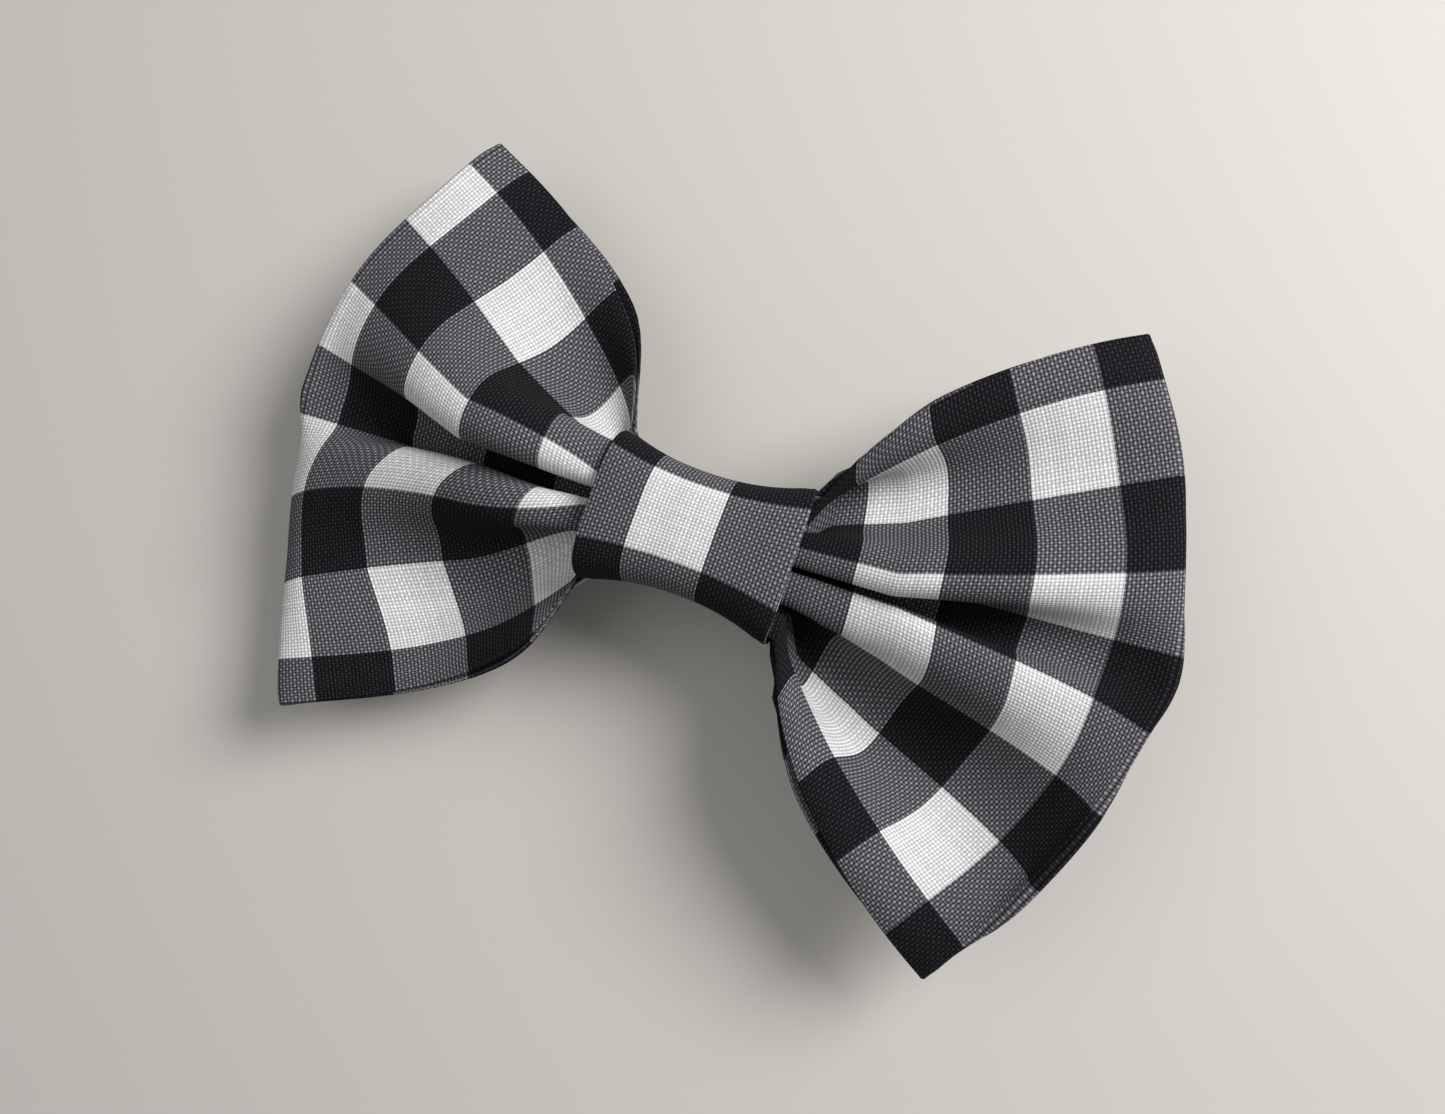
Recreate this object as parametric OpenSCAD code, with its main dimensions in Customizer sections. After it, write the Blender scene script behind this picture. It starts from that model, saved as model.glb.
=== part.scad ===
// Hair bow: a pressed fabric tube looped into two wings, pinched by a centre band, on a flat alligator clip.
// X runs along the bow, Y up its height and Z out of its face. The origin is under the middle of the clip.

/* [Fabric tube] */
// Length of the bow along the middle of its cloth, from fold to fold
bow_length = 107; // [90:1:130]
// Height of the tube when it lies flat
tube_height = 76; // [64:1:92]
// Thickness of the flattened tube, both walls and the interfacing
tube_t = 0.8; // [0.7:0.05:0.9]
// Thickness of one wall of the tube
cloth_t = 0.24; // [0.2:0.01:0.26]
// Width of the pressed edge beyond the interfacing
edge_fold = 0.7; // [0.4:0.1:1.5]
// Gap between the two raw ends under the band
end_gap = 0.3; // [0.2:0.05:1]
// Height of the pleats where the band pinches them
waist_h = 15.6; // [15:0.1:20]
// Depth of the pleats where the band pinches them
waist_d = 6; // [5:0.1:7]
// Angle of the top edge where it leaves the band
leave_angle = 68; // [50:1:75]
// Angle of the top edge at the wing's corner
end_angle = 28; // [15:1:40]
// How far the folded ends stand forward of the middle
forward = 2; // [0:0.5:6]
// How far each layer puffs away from the other
puff = 1.2; // [0:0.1:2]

/* [Centre band] */
// Width of the band along the bow
band_w = 24; // [18:0.5:30]
// Thickness of the folded band
band_t = 0.9; // [0.6:0.1:1.2]
// Corner radius inside the band
band_r = 2.4; // [2:0.1:3]
// Distance from the middle to the band's sewn end
band_end = 5.6; // [5.2:0.1:7]
// Number of stitches that close the band
stitch_count = 6; // [3:1:10]
// Thickness of the sewing thread
stitch_d = 0.28; // [0.2:0.02:0.3]

/* [Gathering thread] */
// Thickness of the gathering thread
thread_d = 0.45; // [0.3:0.05:0.5]
// Turns of thread round the waist
thread_turns = 5; // [3:1:8]
// Room for the thread between the pleats and the band
thread_room = 0.7; // [0.65:0.05:1.2]

/* [Clip] */
// Length of the clip from nose to tail
clip_l = 46; // [40:1:56]
// Width of the clip's plate
clip_w = 8; // [7.6:0.2:10]
// Sheet thickness of the plate and the lever
sheet_t = 0.6; // [0.5:0.05:0.8]
// Clear height between the lever's floor and the plate
clip_gap = 6.8; // [6.4:0.1:9]
// Distance from the middle of the clip to its hinge
hinge_off = 7; // [4:0.5:10]
// Radius of the hinge pin
pin_r = 0.75; // [0.6:0.05:0.9]
// Radial clearance between the pin and the lever
pin_fit = 0.06; // [0.03:0.01:0.1]
// Side gap between the lever's ears and the plate's ears
ear_gap = 0.2; // [0.1:0.05:0.4]
// Wire thickness of the torsion spring
wire_d = 0.55; // [0.4:0.05:0.6]
// Thickness of the ribbon lining
ribbon_t = 0.35; // [0.2:0.05:0.45]
// Width of the ribbon lining
ribbon_w = 9.5; // [9.5:0.5:11]
// Thickness of the grip pad
grip_t = 0.4; // [0.2:0.05:0.5]
// Thickness of the glue under the band
glue_t = 0.35; // [0.3:0.05:0.6]

/* [Hidden] */
$fn = 48;
touch = 0.01;                                  // gap left between pieces that lie face to face

// Heights, from the surface that the lever lies on
plate_z = sheet_t + clip_gap;
ribbon_top = plate_z + sheet_t + touch + ribbon_t;
band_back = ribbon_top + glue_t + 2 * touch;
shell_r = tube_t / 2 + 0.05;                   // half the distance between the front and back layers
inner_y = waist_h / 2 + thread_room;
inner_z = waist_d / 2 + shell_r + tube_t / 2 + thread_room;
mid_z = band_back + 2 * band_t + touch + inner_z;

// Wing
half_band = band_w / 2;
half_tube = tube_height / 2;
wing_l = bow_length / 2 - half_band - shell_r - tube_t / 2;
rows = 12;                                     // steps from the middle of the tube to its edge
steps = 9;                                     // steps from the band to the fold
ds = wing_l / steps;
waist_x = [0, 0.33, 0.67];                     // places under the band, as shares of its half width
pleats = 3;                                    // waves across the tube, from edge to edge
max_fold = 82;                                 // steepest pleat, in degrees
waist_depth_share = 0.6;                       // depth of the pleats at the band, of their natural depth
open_depth_share = 0.75;                       // the same where the wing has opened
edge_drop = 0.6;                               // share by which the tube's edges lie lower under the band

// Half height of the wing at a share u of its length: it leaves steeply and flattens towards the corner
function half_height(u) =
    waist_h / 2 + wing_l * (sin(leave_angle) * u - (sin(leave_angle) - sin(end_angle)) / 2 * u * u);

// Steepest angle of the pleats that fits the tube's height into the wing's height there
function fold_angle(u) =
    min(max_fold, 180 / PI * sqrt(8 * (1 - sqrt(min(1, half_height(u) / half_tube)))));

function running(list) = [for (k = 0, t = 0; k <= len(list); t = t + (k < len(list) ? list[k] : 0), k = k + 1) t];

// Depth of the pleats as a share of their natural depth, shallower where the band squeezes them
function depth_share(u) = waist_depth_share + (open_depth_share - waist_depth_share) * min(1, u / 0.3);

// Section across the wing: the angle of the cloth swings as a sine wave of its length, a soft pleat
function section(u) =
    let (a = fold_angle(u),
         ys = running([for (k = [0:rows - 1]) cos(a * sin(180 * pleats * (k + 0.5) / rows))]),
         zs = running([for (k = [0:rows - 1]) sin(a * sin(180 * pleats * (k + 0.5) / rows))]),
         crest = max(zs),
         depth = u > 0 ? depth_share(u) * half_tube / rows : waist_d / crest)
    [for (k = [0:rows]) [half_height(u) * ys[k] / ys[rows],
        depth * (zs[k] - crest / 2) * (1 - edge_drop * (1 - u) * pow(k / rows, 4)) + forward * u * u]];

sections = [for (i = [0:steps]) section(i / steps)];

// Distance along X that a row covers in one step, so that the row keeps its length
function step_x(i, k) =
    let (d = sections[i + 1][k] - sections[i][k]) sqrt(max(0.04 * ds * ds, ds * ds - d * d));
function row_x(k) =
    [for (i = 0, x = half_band; i <= steps; x = x + (i < steps ? step_x(i, k) : 0), i = i + 1) x];
row_xs = [for (k = [0:rows]) row_x(k)];

// Middle surface of the right half, as columns of points from the lower edge to the upper edge
function mid_point(i, k) =
    let (n = len(waist_x), s = i < n ? sections[0][abs(k)] : sections[i - n][abs(k)],
         x = i < n ? waist_x[i] * half_band : row_xs[abs(k)][i - n])
    [x, (k < 0 ? -1 : 1) * s.x, mid_z + s.y];
last = len(waist_x) + steps;
mid = [for (i = [0:last]) [for (k = [-rows:rows]) mid_point(i, k)]];

function unit(v) = v / norm(v);
function along(i, j) = mid[min(i + 1, last)][j] - mid[max(i - 1, 0)][j];
function across(i, j) = unit(mid[i][min(j + 1, 2 * rows)] - mid[i][max(j - 1, 0)]);
normals = [for (i = [0:last]) [for (j = [0:2 * rows]) unit(cross(along(i, j), across(i, j)))]];

function wing_share(i) = max(0, i - len(waist_x)) / steps;
function puff_at(i) = puff * pow(sin(180 * wing_share(i)), 2);

// Column i of a layer at distance r from the middle surface, turned by the angle a from the fold's tip
function column(i, r, a) = [for (j = [0:2 * rows])
    mid[i][j] + [0, 0, puff_at(i) * sin(a)]
        + r * (sin(a) * normals[i][j] + cos(a) * cross(across(i, j), normals[i][j]))];

// Draws the two edge points of a column in by a share f of the last step
function drawn_in(c, f) = [for (j = [0:2 * rows])
    j == 0 ? c[0] * (1 - f) + c[1] * f : j == 2 * rows ? c[j] * (1 - f) + c[j - 1] * f : c[j]];

function shifted(c, x) = [for (p = c) [x, p.y, p.z]];
function mirrored(cs) = [for (c = cs) [for (p = c) [-p.x, p.y, p.z]]];

// Right half of the loop at distance r: from the raw end along the back, round the fold and along the front
function half_loop(r, x_end) = concat(
    [shifted(column(0, r, -90), x_end)],
    [for (i = [1:last]) column(i, r, -90)],
    [for (a = [-45:45:45]) column(last, r, a)],
    [for (i = [last:-1:0]) column(i, r, 90)]);

function reversed(l) = [for (i = [len(l) - 1:-1:0]) l[i]];

function loop_columns(r, inset, x_end) =
    let (right = [for (c = half_loop(r, x_end)) drawn_in(c, inset * rows / half_tube)],
         left = reversed(mirrored(right)))
    concat(right, [for (i = [1:len(left) - 1]) left[i]]);

// Closed strip between two layers of the loop
module strip(r_out, r_in, inset, x_end) {
    outer = loop_columns(r_out, inset, x_end);
    inner = loop_columns(r_in, inset, x_end);
    n = len(outer);
    m = len(outer[0]);
    function at(side, i, j) = side * n * m + i * m + j;
    function quad(a, b, c, d) = [[a, b, c], [a, c, d]];
    faces = concat(
        [for (i = [0:n - 2]) for (j = [0:m - 2]) each
            quad(at(0, i, j), at(0, i + 1, j), at(0, i + 1, j + 1), at(0, i, j + 1))],
        [for (i = [0:n - 2]) for (j = [0:m - 2]) each
            quad(at(1, i, j), at(1, i, j + 1), at(1, i + 1, j + 1), at(1, i + 1, j))],
        [for (i = [0:n - 2]) each quad(at(0, i, 0), at(1, i, 0), at(1, i + 1, 0), at(0, i + 1, 0))],
        [for (i = [0:n - 2]) each quad(at(0, i, m - 1), at(0, i + 1, m - 1), at(1, i + 1, m - 1), at(1, i, m - 1))],
        [for (j = [0:m - 2]) each quad(at(0, 0, j), at(0, 0, j + 1), at(1, 0, j + 1), at(1, 0, j))],
        [for (j = [0:m - 2]) each
            quad(at(0, n - 1, j), at(1, n - 1, j), at(1, n - 1, j + 1), at(0, n - 1, j + 1))]);
    polyhedron([for (c = concat(outer, inner)) each c], faces);
}

module bow_loop() {
    cavity = tube_t / 2 - cloth_t;
    color("dimgray") difference() {
        strip(shell_r + tube_t / 2, shell_r - tube_t / 2, 0, end_gap / 2);
        strip(shell_r + cavity, shell_r - cavity, edge_fold, end_gap / 6);
    }
}

module interfacing() {
    half = tube_t / 2 - cloth_t - 0.04;
    color("white") strip(shell_r + half, shell_r - half, edge_fold + 0.3, end_gap);
}

// Point on a rounded rectangle of half sizes a and b and corner radius r, grown by off.
// s is the distance from the middle of the back, towards +Y.
function ring_point(s, a, b, r, off) =
    let (w = a - r, h = b - r, q = PI * r / 2, total = 4 * (w + h + q),
         t = s - total * floor(s / total),
         e1 = w, e2 = e1 + q, e3 = e2 + 2 * h, e4 = e3 + q, e5 = e4 + 2 * w, e6 = e5 + q,
         e7 = e6 + 2 * h, e8 = e7 + q)
    t < e1 ? [t, -b - off]
    : t < e2 ? [w, -h] + (r + off) * [sin((t - e1) / r * 180 / PI), -cos((t - e1) / r * 180 / PI)]
    : t < e3 ? [a + off, -h + t - e2]
    : t < e4 ? [w, h] + (r + off) * [cos((t - e3) / r * 180 / PI), sin((t - e3) / r * 180 / PI)]
    : t < e5 ? [w - (t - e4), b + off]
    : t < e6 ? [-w, h] + (r + off) * [-sin((t - e5) / r * 180 / PI), cos((t - e5) / r * 180 / PI)]
    : t < e7 ? [-a - off, h - (t - e6)]
    : t < e8 ? [-w, -h] + (r + off) * [-cos((t - e7) / r * 180 / PI), -sin((t - e7) / r * 180 / PI)]
    : [t - total, -b - off];
ring_l = 4 * (inner_y - band_r + inner_z - band_r + PI * band_r / 2);

// The band is a strip wound once round the pleats, its outer end lapped over its inner end at the back
module center_band() {
    lap = band_end - 1;
    n = 90;
    start = -lap;
    length = ring_l + lap + band_end;
    ramp = 3;                                  // length over which the outer end climbs onto the inner end
    function lift(s) = (band_t + touch) * min(1, max(0, (s - (ring_l - lap - ramp)) / (ramp - 0.4)));
    function edge(off) = [for (i = [0:n])
        let (s = start + length * i / n) ring_point(s, inner_y, inner_z, band_r, off + lift(s))];
    color("gainsboro") translate([-half_band, 0, mid_z]) rotate([90, 0, 90])
        linear_extrude(band_w) polygon(concat(edge(band_t), reversed(edge(0))));
}

// Round wire or thread along a list of points
module wire(path, d, sides) {
    n = len(path);
    function tangent(i) = unit(path[min(i + 1, n - 1)] - path[max(i - 1, 0)]);
    function ring(i, ref) =
        let (t = tangent(i), u = unit(cross(t, ref)), v = cross(t, u))
        [for (k = [0:sides - 1]) path[i] + d / 2 * (cos(360 * k / sides) * u + sin(360 * k / sides) * v)];
    rings = [for (i = [0:n - 1]) each ring(i, [0.02, 1, 0.03])];
    faces = concat(
        [[for (k = [0:sides - 1]) k]],
        [[for (k = [sides - 1:-1:0]) (n - 1) * sides + k]],
        [for (i = [0:n - 2]) for (k = [0:sides - 1])
            let (a = i * sides + k, b = i * sides + (k + 1) % sides) each
            [[a, a + sides, b + sides], [a, b + sides, b]]]);
    polyhedron(rings, faces);
}

// Thread wound round the pleats, just outside them
module gather_thread() {
    n = 20 * thread_turns;
    pitch = thread_d * 1.25;
    off = -thread_d / 2 - 0.05;
    path = [for (i = [0:n])
        let (p = ring_point(ring_l * i * thread_turns / n, inner_y, inner_z, band_r, off))
        [p.x, p.y, pitch * (i * thread_turns / n - thread_turns / 2)]];
    color("black") translate([0, 0, mid_z]) rotate([90, 0, 90]) wire(path, thread_d, 6);
}

module band_stitches() {
    y = band_end - 0.5;
    color("black") for (i = [0:stitch_count - 1])
        translate([band_w * ((i + 0.5) / stitch_count - 0.5), y, band_back - touch - stitch_d / 2])
            rotate([-90, 0, 12]) cylinder(d = stitch_d, h = 1.3, $fn = 16);
}

// Plan of a strip with round ends
module rounded_plan(x0, x1, w) {
    translate([x0 + w / 2, -w / 2]) square([x1 - x0 - w, w]);
    for (x = [x0 + w / 2, x1 - w / 2]) translate([x, 0]) circle(d = w);
}

nose_x = -clip_l / 2;
tail_x = clip_l / 2;
hinge_x = hinge_off;
hinge_z = sheet_t + clip_gap / 2;
ear_r = 2.1;
lever_w = clip_w - 2 * sheet_t - 2 * ear_gap;

module glue_pad() {
    color("ivory") translate([0, 0, ribbon_top + touch]) linear_extrude(glue_t)
        rounded_plan(-half_band + 2, half_band - 2, clip_w - 1);
}

// Ribbon folded round the nose: along the plate's back, and under it as far as the hinge
module ribbon_lining() {
    over = tail_x - 2;
    under = hinge_x - ear_r - 1;
    z0 = plate_z - touch;
    z1 = plate_z + sheet_t + touch;
    x0 = nose_x - touch;
    color("black") translate([0, ribbon_w / 2, 0]) rotate([90, 0, 0]) linear_extrude(ribbon_w) polygon([
        [over, z1], [over, z1 + ribbon_t], [x0 - ribbon_t, z1 + ribbon_t], [x0 - ribbon_t, z0 - ribbon_t],
        [under, z0 - ribbon_t], [under, z0], [x0, z0], [x0, z1]]);
}

module grip_pad() {
    color("lightgray") translate([0, 0, plate_z - 2 * touch - ribbon_t - grip_t]) linear_extrude(grip_t)
        rounded_plan(nose_x + 1, nose_x + 14, clip_w - 1.6);
}

// Pair of ears with a bore on the hinge's axis, joined to a sheet at height z
module ears(y_out, bore_r, z) {
    for (y = [-y_out, y_out - sheet_t]) translate([hinge_x, y, 0]) difference() {
        union() {
            translate([0, sheet_t, hinge_z]) rotate([90, 0, 0]) cylinder(r = ear_r, h = sheet_t);
            translate([-ear_r, 0, min(z, hinge_z)]) cube([2 * ear_r, sheet_t, abs(hinge_z - z)]);
        }
        translate([0, sheet_t + 1, hinge_z]) rotate([90, 0, 0]) cylinder(r = bore_r, h = sheet_t + 2);
    }
}

module clip_plate() {
    color("silver") union() {
        translate([0, 0, plate_z]) linear_extrude(sheet_t) rounded_plan(nose_x, tail_x, clip_w);
        ears(clip_w / 2, pin_r + touch, plate_z + sheet_t / 2);
    }
}

// The lever lies flat under the hinge and its thumb tab, and curves up to meet the lining at the nose
module clip_lever() {
    lip = 2;
    rise_l = 13;
    tooth = 0.5;
    lip_z = plate_z - 2 * touch - ribbon_t - grip_t - tooth - 0.1 - sheet_t / 2;
    curve = 12;
    bend_x = nose_x + 1 + lip + rise_l;
    function smooth(t) = t * t * (3 - 2 * t);
    line = concat([[tail_x, sheet_t / 2]],
        [for (i = [0:curve]) [bend_x - rise_l * i / curve, sheet_t / 2 + (lip_z - sheet_t / 2) * smooth(i / curve)]],
        [[nose_x + 1, lip_z]]);
    n = len(line);
    function side(i, off) =
        let (t = unit(line[min(i + 1, n - 1)] - line[max(i - 1, 0)])) line[i] + off * [t.y, -t.x];
    color("silver") union() {
        intersection() {
            translate([0, clip_w, 0]) rotate([90, 0, 0]) linear_extrude(2 * clip_w) polygon(concat(
                [for (i = [0:n - 1]) side(i, sheet_t / 2)], [for (i = [n - 1:-1:0]) side(i, -sheet_t / 2)]));
            linear_extrude(plate_z) rounded_plan(nose_x + 1, tail_x, lever_w);
        }
        ears(lever_w / 2, pin_r + pin_fit, sheet_t / 2);
        for (x = [1.6, 2.6], y = [-1, 1])
            translate([nose_x + x, y * (lever_w / 4) + 0.6, lip_z + sheet_t / 2 - touch]) rotate([90, 0, 0])
                linear_extrude(1.2) polygon([[-0.4, 0], [0.4, 0], [0, tooth + touch]]);
    }
}

module hinge_pin() {
    reach = clip_w / 2 + 0.05;
    color("silver") translate([hinge_x, 0, hinge_z]) rotate([90, 0, 0]) {
        cylinder(r = pin_r, h = 2 * reach + 0.2, center = true);
        for (s = [0, 180]) rotate([s, 0, 0]) translate([0, 0, reach]) {
            cylinder(r = 1.2, h = 0.3);
            translate([0, 0, 0.3]) cylinder(r1 = 1.2, r2 = 0.7, h = 0.25);
        }
    }
}

// Coil round the pin with a leg under the plate's tail and a leg on the lever's tab
module torsion_spring() {
    r = pin_r + 0.85;
    leg = 9;
    turns = 3;
    half = clip_gap / 2 - wire_d / 2 - 0.03;
    reach = sqrt(leg * leg + half * half);
    a0 = atan2(half, leg) + acos(r / reach);
    sweep = 360 - 2 * a0 + 360 * turns;
    n = 20 * turns;
    width = (turns + 0.6) * wire_d * 1.15;
    path = concat([[leg, -width / 2, half]],
        [for (i = [0:n]) let (a = a0 + sweep * i / n) [r * cos(a), width * (i / n - 0.5), r * sin(a)]],
        [[leg, width / 2, -half]]);
    color("gray") translate([hinge_x, 0, hinge_z]) wire(path, wire_d, 8);
}

bow_loop();
interfacing();
gather_thread();
center_band();
band_stitches();
glue_pad();
ribbon_lining();
grip_pad();
clip_plate();
clip_lever();
hinge_pin();
torsion_spring();
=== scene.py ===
import math

import bmesh
import bpy
import numpy as np
from mathutils import Matrix, Vector


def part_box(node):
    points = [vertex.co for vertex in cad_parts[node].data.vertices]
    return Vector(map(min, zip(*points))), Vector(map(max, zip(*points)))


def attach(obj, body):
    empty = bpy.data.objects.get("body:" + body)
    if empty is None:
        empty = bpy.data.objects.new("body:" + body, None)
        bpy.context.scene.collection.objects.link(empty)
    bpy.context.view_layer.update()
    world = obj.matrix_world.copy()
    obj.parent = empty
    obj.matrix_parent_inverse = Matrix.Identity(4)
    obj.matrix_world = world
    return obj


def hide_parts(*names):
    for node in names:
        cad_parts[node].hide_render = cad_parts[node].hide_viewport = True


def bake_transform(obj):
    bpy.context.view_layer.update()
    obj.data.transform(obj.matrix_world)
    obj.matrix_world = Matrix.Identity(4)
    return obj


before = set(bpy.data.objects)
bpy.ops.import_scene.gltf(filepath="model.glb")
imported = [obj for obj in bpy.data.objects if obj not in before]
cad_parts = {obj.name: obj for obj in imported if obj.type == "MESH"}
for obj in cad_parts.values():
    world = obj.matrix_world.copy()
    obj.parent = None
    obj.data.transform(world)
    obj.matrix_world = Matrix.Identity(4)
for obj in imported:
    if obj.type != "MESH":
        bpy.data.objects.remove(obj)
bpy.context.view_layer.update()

mm = 0.001
bandTop = 5.45                                   # mm, the band's top above the middle of the knot
# middle of the knot: shapes of the bow are worked out in millimetres from here
knot = np.array([0.0, 0.0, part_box("center_band")[1][2] / mm - bandTop])
print("frame loaded, knot at", knot)

# Camera

view = {
    "tilt": -1.6, "pan": -9.5, "roll": -18.8,    # degrees, turning the bow in front of the camera
    "aside": (1.9, -2.1), "distance": 162.9,     # mm, camera from the knot along its own axes
    "lens": 35.6,
}


def turn(tilt, pan, roll):
    # rotation by tilt about X, then pan about Y, then roll about Z
    return (Matrix.Rotation(math.radians(roll), 3, "Z") @ Matrix.Rotation(math.radians(pan), 3, "Y")
            @ Matrix.Rotation(math.radians(tilt), 3, "X"))


cameraAxes = turn(view["tilt"], view["pan"], view["roll"]).transposed()
knotPlace = Vector(knot * mm)


def fromCamera(right, up, back):
    # a place right, up and back (towards the camera) of the knot, in metres along the camera's axes
    return knotPlace + cameraAxes @ Vector((right, up, back))


camera = bpy.data.objects.new("Camera", bpy.data.cameras.new("Camera"))
bpy.context.collection.objects.link(camera)
camera.data.lens = view["lens"]
camera.data.sensor_width = 36
camera.data.sensor_fit = "HORIZONTAL"
camera.data.clip_start = 0.01
right, up = view["aside"]
cameraPlace = fromCamera(right * mm, up * mm, view["distance"] * mm)
camera.matrix_world = Matrix.Translation(cameraPlace) @ cameraAxes.to_4x4()
scene = bpy.context.scene
scene.camera = camera
scene.view_settings.view_transform = "Standard"


class Shade:
    # the nodes of one material, ending in a Principled BSDF

    def __init__(self, name, **fixed):
        self.material = bpy.data.materials.new(name)
        self.material.use_nodes = True
        self.tree = self.material.node_tree
        self.tree.nodes.clear()
        self.surface = self.tree.nodes.new("ShaderNodeBsdfPrincipled")
        output = self.tree.nodes.new("ShaderNodeOutputMaterial")
        self.tree.links.new(self.surface.outputs[0], output.inputs["Surface"])
        for key, value in fixed.items():
            self.surface.inputs[key.replace("_", " ")].default_value = value

    def node(self, kind, settings=None, **values):
        # makes a node, with its settings and the values or links of its sockets
        made = self.tree.nodes.new("ShaderNode" + kind)
        for key, value in (settings or {}).items():
            setattr(made, key, value)
        for key, value in values.items():
            self.feed(made.inputs[key], value)
        return made

    def feed(self, socket, value):
        if isinstance(value, Wire):
            self.tree.links.new(value.socket, socket)
        elif isinstance(value, (tuple, list)) and len(value) == 3 and socket.type == "RGBA":
            socket.default_value = (*value, 1)
        else:
            socket.default_value = value

    def math(self, operation, a, b=0.0):
        made = self.tree.nodes.new("ShaderNodeMath")
        made.operation = operation
        for socket, value in zip(made.inputs, (a, b)):
            self.feed(socket, value)
        return Wire(self, made.outputs[0])

    def mix(self, factor, a, b):
        # colour a where factor is 0, colour b where it is 1
        made = self.tree.nodes.new("ShaderNodeMix")
        made.data_type = "RGBA"
        for index, value in ((0, factor), (6, a), (7, b)):
            self.feed(made.inputs[index], value)
        return Wire(self, made.outputs[2])

    def uv(self, name):
        # the two coordinates of a UV layer
        place = self.node("UVMap", {"uv_map": name})
        parts = self.node("SeparateXYZ", Vector=Wire(self, place.outputs[0]))
        return Wire(self, parts.outputs[0]), Wire(self, parts.outputs[1])

    def place(self):
        return Wire(self, self.node("TexCoord").outputs["Object"])

    def noise(self, where, scale, detail=3.0, roughness=0.5):
        made = self.node("TexNoise", Vector=where, Scale=scale, Detail=detail, Roughness=roughness)
        return Wire(self, made.outputs["Fac"])

    def bump(self, height, depth, strength=1.0):
        made = self.node("Bump", Strength=strength, Distance=depth, Height=height)
        self.feed(self.surface.inputs["Normal"], Wire(self, made.outputs[0]))

    def set(self, **values):
        for key, value in values.items():
            self.feed(self.surface.inputs[key.replace("_", " ")], value)


class Wire:
    # a shader socket that takes part in Python sums

    def __init__(self, shade, socket):
        self.shade = shade
        self.socket = socket

    def __add__(self, other):
        return self.shade.math("ADD", self, other)

    def __radd__(self, other):
        return self.shade.math("ADD", other, self)

    def __sub__(self, other):
        return self.shade.math("SUBTRACT", self, other)

    def __rsub__(self, other):
        return self.shade.math("SUBTRACT", other, self)

    def __mul__(self, other):
        return self.shade.math("MULTIPLY", self, other)

    def __rmul__(self, other):
        return self.shade.math("MULTIPLY", other, self)

    def __truediv__(self, other):
        return self.shade.math("DIVIDE", self, other)

    def __gt__(self, other):
        return self.shade.math("GREATER_THAN", self, other)

    def __lt__(self, other):
        return self.shade.math("LESS_THAN", self, other)

    def __abs__(self):
        return self.shade.math("ABSOLUTE", self)

    def of(self, operation, b=0.0):
        return self.shade.math(operation, self, b)


def smooth(t):
    # 0 up to t = 0, 1 from t = 1, an S curve between
    t = np.clip(t, 0, 1)
    return t * t * (3 - 2 * t)


def unit(v):
    return v / np.maximum(np.linalg.norm(v, axis=-1, keepdims=True), 1e-9)


def gridPiece(name, points, uvs=None, wrapRows=False, wrapColumns=False, caps=False):
    # A mesh from a grid of points in millimetres, rows by columns. uvs has one more row or column where it wraps.
    n, m = points.shape[:2]
    rows = np.arange(n if wrapRows else n - 1)[:, None]
    cols = np.arange(m if wrapColumns else m - 1)[None, :]
    nextRow, nextCol = rows + 1, cols + 1

    def vertex(i, j):
        return (i % n) * m + (j % m)

    corners = [(rows, cols), (nextRow, cols), (nextRow, nextCol), (rows, nextCol)]
    quads = np.stack([vertex(i + 0 * cols, j + 0 * rows) for i, j in corners], -1).reshape(-1, 4)
    flat = points.reshape(-1, 3)
    a, b, c, d = (flat[quads[:, k]] for k in range(4))
    inward = (np.einsum("ij,ij->i", a, np.cross(b, c)) + np.einsum("ij,ij->i", a, np.cross(c, d))).sum() < 0
    order = [0, 3, 2, 1] if inward else [0, 1, 2, 3]
    quads = quads[:, order]
    mesh = bpy.data.meshes.new(name)
    starts = np.arange(0, 4 * len(quads), 4)
    loops = quads.ravel()
    if caps:
        for end in (np.arange(m), np.arange(m)[::-1] + (n - 1) * m):
            starts = np.append(starts, len(loops))
            loops = np.append(loops, end[::-1] if inward else end)
    mesh.vertices.add(len(flat))
    mesh.vertices.foreach_set("co", ((flat + knot) * mm).astype(np.float32).ravel())
    mesh.loops.add(len(loops))
    mesh.loops.foreach_set("vertex_index", loops.astype(np.int32))
    mesh.polygons.add(len(starts))
    mesh.polygons.foreach_set("loop_start", starts.astype(np.int32))
    mesh.update(calc_edges=True)
    mesh.polygons.foreach_set("use_smooth", np.ones(len(mesh.polygons), bool))
    if uvs is not None:
        layer = mesh.uv_layers.new(name="cloth")
        values = np.stack([uvs[i + 0 * cols, j + 0 * rows] for i, j in corners], -2).reshape(-1, 4, 2)[:, order]
        values = values.reshape(-1, 2)
        values = np.concatenate([values, np.repeat(values[:1], len(loops) - len(values), 0)])
        layer.data.foreach_set("uv", values.astype(np.float32).ravel())
    piece = bpy.data.objects.new(name, mesh)
    bpy.context.collection.objects.link(piece)
    return piece


def dress(piece, shade, body, slot, *replaced):
    piece.data.materials.append(shade.material)
    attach(piece, body)
    if replaced:
        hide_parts(*replaced)
    print("made", piece.name, len(piece.data.polygons), "faces")
    return piece


# Gingham

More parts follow.
